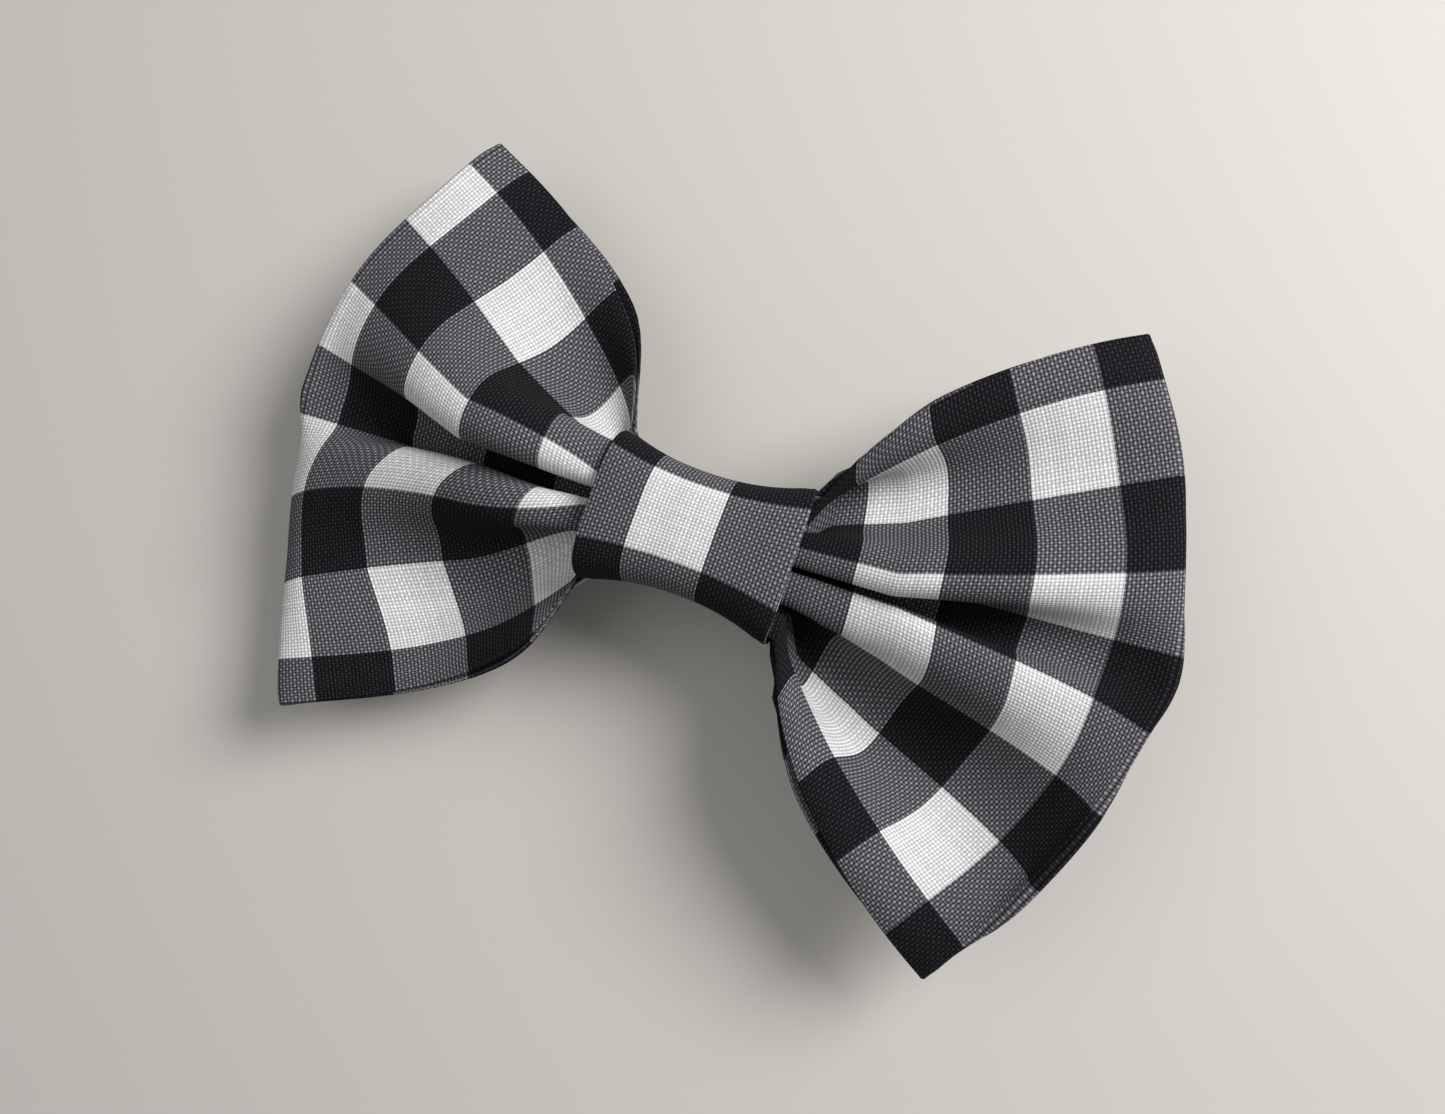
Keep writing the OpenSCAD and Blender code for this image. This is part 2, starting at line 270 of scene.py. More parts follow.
gingham = {
    "check": 9.5, "warpPitch": 0.445, "weftPitch": 0.389,       # mm
    "light": (0.94, 0.94, 0.935), "middle": (0.315, 0.308, 0.338), "dark": (0.033, 0.032, 0.038),
    "gap": (0.001, 0.001, 0.0015),                              # painted shade in the gaps between the yarns
    "gapFill": (0.42, 0.04),                                    # how bright the painted gap shade still is, in white and dark checks
    "weftShade": (0.14, 0.5),                                   # how much duller the weft is, in white and dark checks
    "highlightCrown": 3.2, "hang": 0.35, "roundness": 0.6,               # narrowness of the painted highlight on a yarn's top, lowest height and section of a yarn
    # mm by which the yarns wander, and how much the tone varies from yarn to yarn, in clouds and in fine spots
    "wander": 0.10, "toneSpread": 0.16, "cloudSpread": 0.2, "slubSpread": 0.3,
    "firstWeft": 371,                                           # number of the first weft yarn, beyond the warp's
}


def ginghamShade(name):
    g = gingham
    s = Shade(name, Roughness=0.92, Sheen_Weight=0.01, Sheen_Roughness=0.5, Specular_IOR_Level=0.05)
    along, across = s.uv("cloth")
    where = Wire(s, s.node("CombineXYZ", X=along, Y=across).outputs[0])
    drift = (s.noise(where, 0.35, 2) - 0.5) * g["wander"]
    along = along + drift
    across = across + drift
    # plain weave: each yarn rises and dips as a sine wave, every second one the other way round
    warp = (along * (math.pi / g["warpPitch"])).of("SINE")
    weft = (across * (math.pi / g["weftPitch"])).of("SINE")
    warpUp = 0.5 + 0.5 * weft * warp.of("SIGN")
    weftUp = 0.5 - 0.5 * warp * weft.of("SIGN")
    warpHeight = abs(warp).of("POWER", g["roundness"]) * (g["hang"] + (1 - g["hang"]) * warpUp)
    weftHeight = abs(weft).of("POWER", g["roundness"]) * (g["hang"] + (1 - g["hang"]) * weftUp)
    warpOnTop = warpHeight > weftHeight
    height = warpHeight.of("MAXIMUM", weftHeight)
    # checks: each direction is light for one check and dark for the next, light at the origin
    period = 2 * g["check"]
    warpLight = (along / period + 0.25).of("FRACT") < 0.5
    weftLight = (across / period + 0.25).of("FRACT") < 0.5
    warpYarn = (along / g["warpPitch"]).of("FLOOR")
    weftYarn = (across / g["weftPitch"]).of("FLOOR") + g["firstWeft"]
    yarn = warpYarn * warpOnTop + weftYarn * (1 - warpOnTop)
    yarnTone = Wire(s, s.node("TexWhiteNoise", {"noise_dimensions": "1D"}, W=yarn).outputs["Value"])
    cloudy = s.noise(where, 0.9, 4, 0.6)
    slub = s.noise(where, 4.5, 2, 0.6)
    white = warpLight * weftLight

    def byCheck(pair):
        # the first number in white checks, the second in grey and black ones
        return pair[1] + (pair[0] - pair[1]) * white

    # painted light in the weave: each yarn gets a painted highlight towards its top, and the gaps between yarns get
    # painted shade
    fill = byCheck(g["gapFill"])
    bright = fill + (1 - fill) * height.of("POWER", g["highlightCrown"])
    bright = bright * (1 - g["toneSpread"] * (1 - yarnTone))
    bright = bright * (1 + g["cloudSpread"] * (cloudy - 0.5)) * (1 + g["slubSpread"] * (slub - 0.5))
    bright = bright * (1 - byCheck(g["weftShade"]) * (1 - warpOnTop))
    colour = s.mix(white, s.mix(warpLight.of("MAXIMUM", weftLight), g["dark"], g["middle"]), g["light"])
    # the painted gap shade and the painted yarn highlights go into the base colour
    s.set(Base_Color=s.mix(bright, g["gap"], colour))
    s.bump(height, 0.00009, 0.8)
    return s


# Wings. Each is laid out from the knot outwards: u runs from 0 at the band to 1 at the outer fold, and b from -1 at
# the lower edge of the tube to 1 at the upper.

loop = {
    # mm: half height of the tube pressed flat, and where the wings start and end from the middle of the knot
    "halfHeight": 38.24, "start": 11.0, "reach": 53.0,
    "thick": 0.43, "rim": 0.27,                  # half thickness of the flattened tube, and at its pressed edges
    "wall": 0.2,                                 # thickness of the cloth
    "rimSwell": 0.33, "swellAt": 12, "swellWidth": 11,     # the pressed edges stand open a little beside the knot
    "fold": 0.45, "puff": 0.9,                   # radius of the outer fold; how far the back layer stands off
    "clothOrigin": (22.6, 10.2),                 # middle of a light check
    "exchange": (7.5, 17),                       # where the pleats start to change into the other wing's, over how much
    "columns": 64, "rows": 160, "throughRows": 25, "halfwayRows": 7,
    "smoothing": 260, "backSmoothing": 10,       # times the columns and the back layer are relaxed
    "leastStep": 0.12,                           # smallest share of a row's step that still leads outwards
    "foldDegree": 4, "peekPower": 5,
}

rightWing = {
    # outline: half height at the knot, then degrees leaving the knot, degrees arriving and mm at each corner
    "knotHalf": 7.4, "top": (67, 26, 36.4), "bottom": (73, 30, 38.2),
    # fold lines across the tube, the fourth being the valley, and how strongly the walls between them slope
    "linesAtKnot": (-1, -0.58, -0.16, 0.07, 0.38, 0.70, 1),
    "linesAtFold": (-1, -0.56, -0.14, 0.07, 0.37, 0.71, 1),
    "edge": 0.94, "knee": 0.73, "outer": (0.16, 0.42), "fading": 0.5, "valleyWalls": (0.99, 1.15),
    "valley": (0.10, 1.08),                      # mm, height of the valley at the knot, and its rise on the way out
    # how deep the pleats are left beyond the knot, degrees of tilt at the knot and at the fold, mm of lift with u and
    # with its square, mm of curl at the corners, and mm by which the knot is raised off the clip
    "squeeze": 0.87, "tilt": (5.4, 3.2), "lift": (0.4, 2.4), "curl": -2.9, "raise": 0.6,
    "peek": (0.6, 1.8),                          # mm, how far the back layer shows above and below the front one
    # mm, for the upper and the lower panel: arch and lean of the columns, how far they are drawn in beside the
    # valley, sag of the rows, fall of the edge and roll of the outer fold
    "arch": (0.0, 1.9), "lean": (0.0, 0.0), "tuck": (0.0, 0.0), "sag": (0.0, 1.5), "fall": (0.0, 0.0),
    "roll": (0.4, 0.6),
    # mm, how much further the fold reaches at the lower corner, the valley and the upper corner, how far it bows
    # out between them in the upper and the lower panel, and how far it sways towards the valley
    "reach": (0.0, 0.0, 0.0), "bow": (-0.5, 0.0), "sway": (0.0, 0.0),
    # place across the tube, width, depth in mm and reach of each dent
    "dents": ((0.74, 0.08, 1.1, 0.24), (0.22, 0.045, 0.3, 0.45), (-0.34, 0.05, 0.3, 0.4), (-0.8, 0.05, 0.4, 0.5)),
}

leftWing = {
    "knotHalf": 9.1, "top": (71, 26, 38.0), "bottom": (73, 24, 35.0),
    "linesAtKnot": (-1, -0.76, -0.44, -0.06, 0.45, 0.88, 1),
    "linesAtFold": (-1, -0.61, -0.25, -0.04, 0.32, 0.85, 1),
    "edge": 0.66, "knee": 0.88, "outer": (0.25, 0.40), "fading": 1.57, "valleyWalls": (0.92, 1.27),
    "valley": (0.62, 1.02),
    "squeeze": 0.81, "tilt": (1.6, -4.4), "lift": (-0.2, -1.3), "curl": 1.3, "raise": 0.6,
    "peek": (1.7, 1.0),
    "arch": (0.5, 4.0), "lean": (0.0, 2.2), "tuck": (0.0, 2.2), "sag": (0.0, 3.6), "fall": (0.0, 4.0),
    "roll": (0.3, 1.4),
    "reach": (1.0, 1.3, 1.5), "bow": (-1.4, 0.8), "sway": (1.0, 0.0),
    "dents": ((0.60, 0.05, 0.35, 0.5), (0.30, 0.04, 0.25, 0.4), (-0.5, 0.05, 0.5, 0.4), (-0.24, 0.04, 0.3, 0.5)),
}


def outline(w, u, which):
    # half height of the wing: a straight slope at the arriving angle, plus a rise that dies away as a power of 1 - u
    # and makes it leave the band at the leaving angle
    leave, arrive = (math.sin(math.radians(a)) for a in w[which][:2])
    length = loop["reach"] - loop["start"]
    rise = (w[which][2] - w["knotHalf"]) / length - arrive
    return w["knotHalf"] + length * (arrive * u + rise * (1 - (1 - u) ** ((leave - arrive) / rise)))


driftOver = 0.22                                 # share of the wing's length in which the fold lines find their places


def foldLines(w, u):
    # where the fold lines run: they drift from their places at the knot to those at the outer fold
    drift = 1 - np.exp(-u / driftOver)
    return [a + (b - a) * drift for a, b in zip(w["linesAtKnot"], w["linesAtFold"])]


steepest = 2.05                                  # radians, beyond which a wall would fold back through itself


def wallSlopes(w, u, scale):
    # largest slope of each of the six walls between the fold lines, in radians
    fade = (1 - u) ** w["fading"]
    shares = [w["edge"] * fade, w["knee"] * fade + w["outer"][0] * (1 - fade), w["valleyWalls"][0] + 0 * u,
              w["valleyWalls"][1] + 0 * u, w["knee"] * fade + w["outer"][1] * (1 - fade), w["edge"] * fade]
    return [np.minimum(share * scale, steepest) for share in shares]


def fitScale(w, u, walls, height):
    # scale of the slopes at which the walls together are as high as asked, found by halving
    lines = foldLines(w, u)
    samples, halvings, largest = 64, 24, 3.0
    t = np.sin(np.pi * (np.arange(samples) + 0.5) / samples)[None, :]
    low, high = np.zeros_like(u), np.full_like(u, largest)
    for _ in range(halvings):
        scale = (low + high) / 2
        slopes = wallSlopes(w, u, scale)
        got = sum(np.cos(slopes[k] * t).mean(1, keepdims=True) * (lines[k + 1] - lines[k]) for k in walls)
        tall = got * loop["halfHeight"] > height
        low, high = np.where(tall, scale, low), np.where(tall, high, scale)
    return scale


def relaxed(points, times):
    # each point moves towards the middle of its two neighbours across the tube, and the edges stay
    for _ in range(times):
        points = points.copy()
        points[:, 1:-1] = 0.5 * points[:, 1:-1] + 0.25 * (points[:, 2:] + points[:, :-2])
    return points


# how the two panels of a wing take up their shifts, in shares of the panel's height and of the wing's length
panel = {
    "lateness": 1.3,                             # power of share that puts the sag and the lean further out
    "archFrom": 0.3,                             # the arch grows over this much beside the valley
    "tuckFrom": 0.06, "tuckAt": 0.16, "tuckWidth": 0.12,   # the bell that draws the columns in
    "sagFrom": 0.4, "sag": (1.1, 0.6),           # the sag grows this fast, is this strong, and fades by so much
    "fallFrom": 0.6,
    "rollFrom": 0.86, "rollWidth": 0.28, "rollIn": 0.42,   # where the outer fold rolls over, and how far inwards
}


def panelShift(w, part, share, u):
    # Shift in mm of the upper (part 0) or lower (part 1) panel. share is 0 at the valley and 1 at the outer edge.
    # Along x the columns arch as a half sine, lean in as the falling half of a whole sine, and are tucked in by a
    # bell near the valley. Rows sag as a half sine, the edge falls steadily, and the outer fold reaches out as the
    # square of u and rolls over at its end.
    arch = np.sin(np.pi * share)
    late = share ** panel["lateness"]
    leaning = np.sin(2 * np.pi * late)
    columns = (w["arch"][part] * arch + w["lean"][part] * np.minimum(leaning, 0))
    columns = columns * smooth(share / panel["archFrom"])
    bell = np.exp(-((share - panel["tuckAt"]) / panel["tuckWidth"]) ** 2) * smooth(share / panel["tuckFrom"])
    corner, middle = w["reach"][2 - 2 * part], w["reach"][1]
    further = middle + (corner - middle) * share + w["bow"][part] * arch + w["sway"][part] * leaning
    rolled = smooth((u - panel["rollFrom"]) / panel["rollWidth"]) * 2 * arch * w["roll"][part]
    x = (columns - w["tuck"][part] * bell) * np.sin(np.pi * u) + u ** 2 * further - panel["rollIn"] * rolled
    strength, fading = panel["sag"]
    y = -w["sag"][part] * np.sin(np.pi * late) * smooth(u / panel["sagFrom"]) * (strength - fading * u)
    z = -w["fall"][part] * late * smooth(u / panel["fallFrom"]) - rolled
    return x, y, z


def wingFace(w):
    # Face of one wing. Across the tube the cloth's slope swings as half sine waves between the fold lines, with
    # the strength that fits the tube's height into the outline. Each row keeps its length from the band outwards.
    u = np.linspace(0, 1, loop["columns"] + 1)[:, None]
    b = np.linspace(-1, 1, loop["rows"] + 1)[None, :]
    half, length = loop["halfHeight"], loop["reach"] - loop["start"]
    lines = foldLines(w, u)
    valley = w["valley"][0] + w["valley"][1] * u
    upper = fitScale(w, u, (3, 4, 5), outline(w, u, "top") - valley)
    lower = fitScale(w, u, (0, 1, 2), outline(w, u, "bottom") + valley)
    slopes = wallSlopes(w, u, lower)[:3] + wallSlopes(w, u, upper)[3:]
    slope = 0
    for k in range(6):
        across = (b - lines[k]) / (lines[k + 1] - lines[k])
        inside = (across >= 0) & (across < 1)
        slope = slope + (-1) ** (k + 1) * slopes[k] * np.sin(np.pi * np.clip(across, 0, 1)) * inside
    step = 2 * half / loop["rows"]

    def summed(f):
        total = np.concatenate([np.zeros_like(u), np.cumsum((f[:, 1:] + f[:, :-1]) / 2 * step, 1)], 1)
        place = (lines[3] + 1) / 2 * loop["rows"]
        below = np.floor(place).astype(int)
        first, second = np.take_along_axis(total, below, 1), np.take_along_axis(total, below + 1, 1)
        return total - first - (second - first) * (place - below)

    y = summed(np.cos(slope)) + valley
    z = summed(np.sin(slope))
    z = (z - z.mean(1, keepdims=True)) * (w["squeeze"] + (1 - w["squeeze"]) * np.minimum(1, u / 0.4))
    tilt = np.radians(w["tilt"][0] + (w["tilt"][1] - w["tilt"][0]) * u)
    y, z = y * np.cos(tilt) - z * np.sin(tilt), y * np.sin(tilt) + z * np.cos(tilt)
    z = z + w["lift"][0] * u + w["lift"][1] * u * u + w["curl"] * u * u * (b * b - 1 / 3)
    ds = length / loop["columns"]
    least = loop["leastStep"] * ds
    dx = np.sqrt(np.maximum(ds ** 2 - np.diff(y, axis=0) ** 2 - np.diff(z, axis=0) ** 2, least ** 2))
    x = loop["start"] + np.concatenate([np.zeros_like(b), np.cumsum(dx, 0)])
    # columns of the weave run smoothly over the folds, and the outer fold is pressed into one smooth curve
    x = relaxed(x[..., None], loop["smoothing"])[..., 0]
    flat = smooth((u - 0.25) / 0.75)
    for coordinate in (x, z):
        fitted = np.polynomial.Polynomial.fit(b[0], coordinate[-1], loop["foldDegree"])(b[0])
        coordinate += (fitted - coordinate[-1]) * flat
    above = (b - lines[3]) / (1 - lines[3])
    under = (lines[3] - b) / (1 + lines[3])
    for part, side, share in ((0, b > lines[3], above), (1, b <= lines[3], under)):
        shift = panelShift(w, part, np.clip(share, 0, 1), u)
        x, y, z = (place + moved * side for place, moved in zip((x, y, z), shift))
    # the pleats are pressed flatter where they go under the band, and raised a little off the clip
    z = z * (0.5 + 0.5 * smooth(u / 0.4)) + w["raise"] * (1 - smooth(u / 0.8))
    return np.stack([x, y, z], -1), u, b


def dents(w, u, b):
    # shallow dents that run out from the knot: each is a bell across the tube and fades as a bell on the way out
    total = 0 * u * b
    for at, width, deep, reach in w["dents"]:
        total = total - deep * np.exp(-((b - at) / width) ** 2) * smooth(u / 0.08) * np.exp(-(u / reach) ** 2)
    return total


def normalsOf(points):
    # unit normals and unit cross directions of a grid of points
    along = np.gradient(points, axis=0)
    across = np.gradient(points, axis=1)
    return unit(np.cross(along, across)), unit(across)


def wingLayers(w):
    # middle surfaces of the front and back layers of a wing, and of the fold that joins them
    face, u, b = wingFace(w)
    normal, across = normalsOf(face)
    face = face + normal * dents(w, u, b)[..., None]
    normal, across = normalsOf(face)
    front = face - normal * loop["thick"]
    stand = 2 * loop["fold"] + loop["puff"] * np.sin(np.pi * u) ** 2 * (1 - 0.5 * b * b)
    back = front - normal * stand[..., None]
    blend = smooth((0.75 - u) / 0.4)[..., None]
    back = relaxed(back, loop["backSmoothing"]) * blend + back * (1 - blend)
    swell = smooth(u / 0.1) * smooth((1 - u) / 0.75) * abs(b) ** loop["peekPower"]
    back[..., 1] += swell * np.where(b > 0, w["peek"][0], -w["peek"][1])
    centre = (front[-1] + back[-1]) / 2
    outward = unit(np.cross(across[-1], normal[-1]))
    angle = np.radians(np.array([54, 18, -18, -54]))[:, None, None]
    tip = centre + loop["fold"] * (np.sin(angle) * normal[-1] + np.cos(angle) * outward)
    return front, back, tip


band = {
    "edges": (-12.5, 10.4), "waistAt": -1.5,
    # outside half height at the waist, and how much more so far from it
    "height": 7.15, "flare": 1.7, "flareAt": 10.5, "flarePower": 2.2,
    "thick": 0.9, "front": 4.9, "back": 4.55,    # inside half depths
    "corner": 3.4,                               # roundness of the section, 2 being an ellipse
    "lap": 0.28, "lapClear": 0.01,               # half turns past the back's middle at each end; mm between the ends
    "bulge": 0.05, "bulgeWidth": 13,             # the front is a little rounded
    "push": 0.35,                                # mm by which the pleats push the edges out
    "rowOffset": 0.75, "cellAt": -2.7, "turn": -1.0, "cellScale": 0.93,    # how the check lies on it, mm and degrees
    "steps": 240, "columns": 40,
}


def bandInside(x):
    # half height inside the band: least at the waist and growing with a power of the distance from it
    share = abs(x - band["waistAt"]) / band["flareAt"]
    return band["height"] - band["thick"] + band["flare"] * share ** band["flarePower"]


pinch = {
    "clear": 0.05,                               # mm between the pleats and the band
    "sides": 4.0, "up": 2.5, "down": (0.5, 0.16),          # how fast the limits widen beyond its edges
    "hardness": 8,
}


def pinched(points, start, end, room=0.0):
    # The band holds the pleats: heights are softly limited, tightly between its two edges and ever less beyond them.
    # room is kept free for the cloth outside.
    x, y, z = points[..., 0], points[..., 1], points[..., 2]
    beyond = np.maximum(0, np.maximum(x - end, start - x))
    down = pinch["down"]
    limitY = bandInside(np.clip(x, start, end)) + pinch["sides"] * beyond - room
    limitUp = band["front"] - pinch["clear"] + pinch["up"] * beyond - room
    limitDown = band["back"] - pinch["clear"] + down[0] * beyond + down[1] * beyond ** 2 - room

    def held(v, limit):
        # v while it is small, turning softly into the limit
        return v / (1 + abs(v / limit) ** pinch["hardness"]) ** (1 / pinch["hardness"])

    return np.stack([x, held(y, limitY), np.where(z > 0, held(z, limitUp), held(z, limitDown))], -1)


# four points round a pressed edge: their angles, and how far on they lie along the cloth in mm
rimAngles = np.radians(np.array([60, 20, -20, -60]))[None, :, None]
rimSteps = np.array([0.1, 0.2, 0.3, 0.4])
rimLength = 0.5


def flatTube(centre, uAlong, hollow, thick, rim, swell=0, stride=3):
    # Skin of a flattened tube round the middle surface centre, with round pressed edges: along one face, over the
    # upper edge, back along the other and over the lower one. A hollow tube returns along its inside.
    n, m = centre.shape[:2]
    outward, across = normalsOf(centre)
    outward = -outward
    fromEdge = loop["halfHeight"] * (1 - abs(np.linspace(-1, 1, m)))
    half = loop["halfHeight"]
    q = np.linspace(-half, half, m)
    other = slice(m - 1, None, -2)

    def skin(thick, rim, rows):
        c, o, a = centre[rows], outward[rows], across[rows]
        beside = (abs(c[:, m // 2, :1]) - loop["swellAt"]) / loop["swellWidth"]
        rim = rim + swell * np.exp(-beside ** 2)[..., None]
        h = rim + (thick - rim) * smooth(fromEdge / 2)[None, :, None]
        upper = c[:, -1:] + rim * (np.cos(rimAngles) * a[:, -1:] + np.sin(rimAngles) * o[:, -1:])
        lower = c[:, :1] - rim * (np.cos(rimAngles) * a[:, :1] + np.sin(rimAngles) * o[:, :1])
        return np.concatenate([c + o * h, upper, (c - o * h)[:, other], lower], 1)

    v = np.concatenate([q, half + rimSteps, 2 * half + rimLength - q[other], -half - rimSteps[::-1], [-half]])
    rows = np.arange(n)
    points, u = skin(thick, rim, rows), uAlong
    if hollow:
        inside = np.unique(np.append(rows[::stride], n - 1))[::-1]
        points = np.concatenate([points, skin(thick - hollow, rim - hollow, inside)])
        u = np.concatenate([u, uAlong[inside]])
        u = np.append(u, u[:1])
    uvs = np.stack(np.broadcast_arrays(u[:, None] - loop["clothOrigin"][0], v[None, :] - loop["clothOrigin"][1]), -1)
    return points, uvs


def makeLoop():
    # The loop runs from a raw end at the back to the right fold, along the front to the left fold, and back
    right, left = wingLayers(rightWing), wingLayers(leftWing)
    flip = np.array([-1, 1, 1])
    left = [part * flip for part in left]
    start = loop["start"]

    def underBand(a, b, xs):
        # sections under the band change evenly from the right wing's first one to the left wing's
        share = smooth((loop["exchange"][0] - xs) / loop["exchange"][1])[:, None, None]
        middle = a * (1 - share) + b * share
        middle[..., 0] = xs[:, None]
        return middle

    rawEnd = 0.15                                # mm from the middle of the back
    halfway = np.linspace(rawEnd, start, loop["halfwayRows"])[:-1]
    through = np.linspace(start, -start, loop["throughRows"])[1:-1]
    strips = [
        underBand(right[1][0], left[1][0], halfway), right[1][::2], right[2][::-1], right[0][::-1],
        underBand(right[0][0], left[0][0], through), left[0], left[2], left[1][::2][::-1],
        underBand(right[1][0], left[1][0], -halfway[::-1]),
    ]
    centre = np.concatenate(strips)
    # distance along the cloth, measured at the middle of the tube's front and carried round the folds
    reach, turnLength = loop["reach"], math.pi * loop["fold"]
    rowsOut = np.linspace(start, reach, loop["columns"] + 1)
    tipShare = np.array([0.2, 0.4, 0.6, 0.8]) * turnLength
    total = 2 * reach + turnLength
    coords = [total - halfway, total - rowsOut[::2], reach + tipShare[::-1], rowsOut[::-1], through, -rowsOut,
              -reach - tipShare, -total + rowsOut[::2][::-1], -total + halfway[::-1]]
    return centre, np.concatenate(coords)


print("working out the bow")
centre, clothAlong = makeLoop()
bandStart, bandEnd = band["edges"]
points, uvs = flatTube(centre, clothAlong, loop["wall"], loop["thick"], loop["rim"], loop["rimSwell"])
bow = gridPiece("bow_loop_cloth", pinched(points, bandStart, bandEnd), uvs, wrapRows=True, wrapColumns=True)
cloth = ginghamShade("gingham_cotton")
dress(bow, cloth, "bow", "gingham", "bow_loop")

stiffener = Shade("nonwoven_interfacing", Roughness=0.95)
fibres = stiffener.noise(stiffener.place(), 2600, 5, 0.7)
stiffener.set(Base_Color=stiffener.mix(fibres, (0.66, 0.66, 0.64), (0.86, 0.86, 0.84)))
stiffener.bump(fibres, 0.00005)
points, uvs = flatTube(centre[2:-2, 4:-4:2], clothAlong[2:-2], 0, 0.10, 0.06)
inner = gridPiece("interfacing_sheet", pinched(points, bandStart, bandEnd, 0.6), uvs, wrapColumns=True, caps=True)
dress(inner, stiffener, "bow", "interfacing", "interfacing")


def makeBand():
    # A strip wound once round the pleats and lapped over its own end at the back. Its outline at each x is a rounded
    # box: y and z are the sine and cosine of the angle, both raised to a power below 1.
    b = band
    x = np.linspace(*b["edges"], b["columns"] + 1)[None, :]
    inside = bandInside(x)
    turnShare = np.linspace(0, 1, b["steps"] + 1)[:, None]
    lead = np.pi * b["lap"]
    angle = -lead + (2 * np.pi + 2 * lead) * turnShare           # 0 at the middle of the back, towards +Y
    power = 2 / b["corner"]
    sine, cosine = np.sin(angle), -np.cos(angle)
    y = inside * np.sign(sine) * abs(sine) ** power
    depth = np.where(cosine > 0, b["front"], b["back"])
    bulge = 1 + b["bulge"] * smooth(cosine) * (1 - ((x - b["waistAt"]) / b["bulgeWidth"]) ** 2)
    z = depth * bulge * np.sign(cosine) * abs(cosine) ** power
    centre = np.stack(np.broadcast_arrays(x + 0 * y, y, z), -1)
    outward, _ = normalsOf(centre)
    outward = outward * np.sign((outward * centre)[..., 1:].sum(-1, keepdims=True))
    # the outer end climbs on to the inner one just before it meets it
    climb = 0.35 * lead
    lapLift = (b["thick"] + b["lapClear"]) * smooth((angle - (2 * np.pi - lead - climb)) / climb)
    centre = centre + outward * (b["thick"] / 2 + lapLift)[..., None]
    # the folded edges bow outwards a little where the pleats push on them
    side = (x - b["waistAt"]) / (b["edges"][1] - b["waistAt"])
    centre[..., 0] += b["push"] * side * smooth(cosine)
    return centre, outward, angle


print("working out the band")
bandCentre, bandOutward, bandAngle = makeBand()
steps = np.linalg.norm(np.diff(bandCentre[:, band["columns"] // 2], axis=0), axis=-1)
bandLength = np.concatenate([[0], np.cumsum(steps)])
frontPlace = np.interp(np.pi, bandAngle[:, 0], bandLength)


def bandSkin():
    # the strip's outside, over one folded edge, back along its inside and over the other, with its cloth coordinates
    b = band
    _, across = normalsOf(bandCentre)
    h = b["thick"] / 2
    x = bandCentre[..., 0]
    fromEdge = np.minimum(abs(x - b["edges"][0]), abs(x - b["edges"][1]))
    # pressed thinner towards its folded edges
    pressed = 0.62
    half = bandOutward * h * (pressed + (1 - pressed) * smooth(fromEdge / 1.5))[..., None]
    rim = pressed * h
    far = bandCentre[:, -1:] + rim * (np.cos(rimAngles) * across[:, -1:] + np.sin(rimAngles) * bandOutward[:, -1:])
    near = bandCentre[:, :1] - rim * (np.cos(rimAngles) * across[:, :1] + np.sin(rimAngles) * bandOutward[:, :1])
    points = np.concatenate([bandCentre + half, far, (bandCentre - half)[:, ::-1], near], 1)
    xs = x[0]
    u = np.concatenate([xs, xs[-1] + rimSteps, 2 * xs[-1] + rimLength - xs[::-1], xs[0] - rimSteps[::-1], xs[:1]])
    u = (u - b["cellAt"])[None, :]
    v = (frontPlace - bandLength - b["rowOffset"])[:, None]
    tilt = math.radians(b["turn"])
    turned = np.stack([u * math.cos(tilt) + v * math.sin(tilt), v * math.cos(tilt) - u * math.sin(tilt)], -1)
    return points, turned / b["cellScale"]


points, uvs = bandSkin()
wrap = gridPiece("center_band_cloth", points, uvs, wrapColumns=True, caps=True)
dress(wrap, ginghamShade("gingham_cotton_band"), "bow", "gingham_band", "center_band")


def tube(path, radius, sides=10):
    # round thread along a path: circles square to the path's direction
    direction = unit(np.gradient(path, axis=0))
    nearlyUp = np.array([0.03, 0.02, 1.0])       # never quite the thread's own direction
    side = unit(np.cross(direction, nearlyUp))
    up = np.cross(direction, side)
    a = np.linspace(0, 2 * np.pi, sides, endpoint=False)[None, :, None]
    return path[:, None] + radius * (np.cos(a) * side[:, None] + np.sin(a) * up[:, None])


thread = {"turns": 5, "pitch": 0.56, "radius": 0.22, "inset": 0.3, "steps": 400}


def makeThread():
    # turns of thread just inside the band, a helix on the same rounded box
    turns, inset = thread["turns"], thread["inset"]
    angle = np.linspace(0, 2 * np.pi * turns, thread["steps"] + 1)
    power = 2 / band["corner"]
    x = band["waistAt"] + thread["pitch"] * (angle / (2 * np.pi) - turns / 2)
    y = (bandInside(x) - inset) * np.sign(np.sin(angle)) * abs(np.sin(angle)) ** power
    z = (band["back"] - inset) * np.sign(np.cos(angle)) * abs(np.cos(angle)) ** power
    return tube(np.stack([x, y, z], -1), thread["radius"])


threadShade = Shade("sewing_thread", Roughness=0.7, Sheen_Weight=0.2)
ply = threadShade.place()
twist = Wire(threadShade, threadShade.node(
    "TexWave", {"bands_direction": "DIAGONAL"}, Vector=ply, Scale=900.0, Distortion=1.0).outputs["Fac"])
threadShade.set(Base_Color=threadShade.mix(twist, (0.012, 0.012, 0.014), (0.04, 0.04, 0.045)))
threadShade.bump(twist, 0.00003)
winding = gridPiece("gathering_thread", makeThread(), wrapColumns=True, caps=True)
dress(winding, threadShade, "bow", "thread", "gather_thread")

# Ribbon lining of the clip

ribbonBox = [np.array(corner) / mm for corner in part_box("ribbon_lining")]
plateBox = [np.array(corner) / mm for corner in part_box("clip_plate")]
ribbon = {
    # mm, the end being where it stops under the plate, from the middle of the knot
    "thick": 0.34, "inset": 0.005, "margin": 0.1, "noseIn": 0.25, "end": 3.9, "ribPitch": 0.75, "finePitch": 0.16,
    "edgeShare": 0.75, "edgeWidth": 0.08,        # thickness at its woven edges, and how wide they are
}


